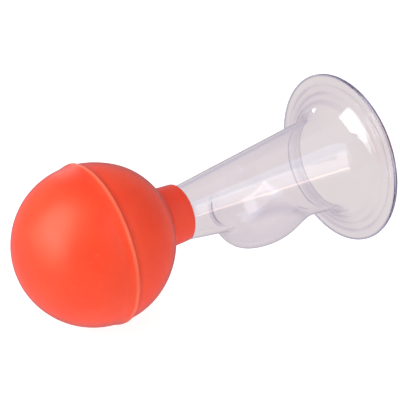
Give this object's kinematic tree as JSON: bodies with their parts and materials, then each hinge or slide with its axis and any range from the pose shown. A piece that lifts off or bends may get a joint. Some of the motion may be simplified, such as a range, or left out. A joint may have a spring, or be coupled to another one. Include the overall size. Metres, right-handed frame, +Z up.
{
  "type": "bulb breast pump",
  "caption": "Hand breast pump: a clear glass body with a flared bell, a tapering tunnel and a milk reservoir, and a hollow rubber squeeze bulb on its neck.",
  "frame": {"origin": "centre of the bell's mouth, in the plane of the rim's flat land", "axes": "+X points out of the mouth along the axis of the bell, tunnel, neck and bulb; +Z is up, and the reservoir hangs towards -Z"},
  "size_m": [0.149, 0.0718, 0.0718],
  "materials": {
    "clear_glass": "clear and polished, with a faint grey tint",
    "red_rubber": "matte orange red, slightly dusty moulded rubber"
  },
  "bodies": {
    "glass": {"glass_body": "clear_glass"},
    "bulb": {"bulb_front_shell": "red_rubber", "bulb_rear_shell": "red_rubber"},
    "thumb_dome": {"bulb_thumb_dome": "red_rubber"}
  },
  "joints": [
    {"name": "bulb_pull_off", "type": "slide", "parent": "glass", "child": "bulb", "axis": [-1, 0, 0], "range_m": [0, 0.03]},
    {"name": "thumb_press", "type": "slide", "parent": "bulb", "child": "thumb_dome", "axis": [1, 0, 0], "range_m": [0, 0.018], "stiffness_N_per_m": 600}
  ]
}
